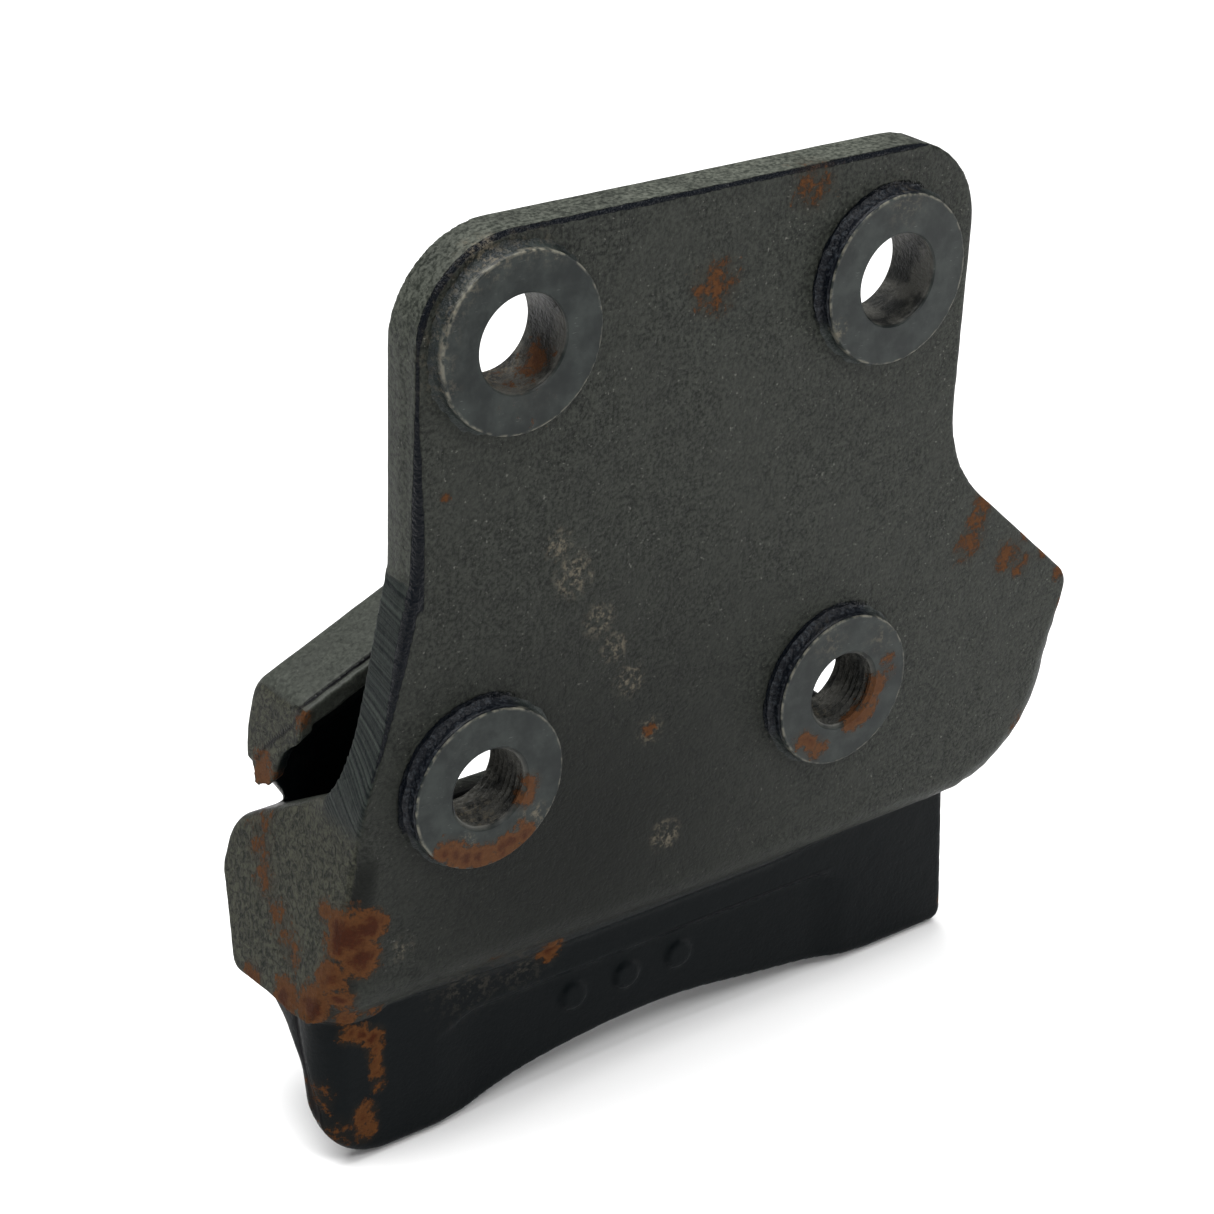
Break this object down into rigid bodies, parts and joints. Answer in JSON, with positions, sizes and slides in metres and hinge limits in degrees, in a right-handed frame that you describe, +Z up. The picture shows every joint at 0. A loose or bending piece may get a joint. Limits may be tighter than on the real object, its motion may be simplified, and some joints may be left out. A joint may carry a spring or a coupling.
{
  "type": "mounting bracket",
  "caption": "Black painted steel mounting bracket: flat bolt plate with raised bosses, a sloping-topped rear web behind a trough, one trimmed side and an arched foot.",
  "frame": {"origin": "Centre of the upper left bolt hole at its mouth, on the mounting plane shared by the boss faces.", "axes": "+Z up along the plate, +Y to the rear away from the mounting plane, +X to the right as seen from the front."},
  "size_m": [0.1932, 0.05, 0.1941],
  "materials": {
    "plate_paint": "satin charcoal paint over a rough forged skin",
    "foot_paint": "satin near-black paint",
    "boss_metal": "machined faces with thin dark paint and bright edges",
    "trimmed_end": "rough grey-green cut face with rust",
    "flange_paint": "dull grey paint"
  },
  "bodies": {
    "root": {"bolt_plate": "plate_paint", "base_beam": "plate_paint", "rear_web": "plate_paint", "foot_front_wall": "foot_paint", "foot_rear_rib": "foot_paint", "left_end_cheek": "trimmed_end", "left_top_flange": "flange_paint", "right_top_flange": "flange_paint", "flange_flash_rib": "flange_paint", "upper_left_boss": "boss_metal", "upper_right_boss": "boss_metal", "lower_left_threaded_boss": "boss_metal", "lower_right_threaded_boss": "boss_metal"}
  },
  "joints": []
}
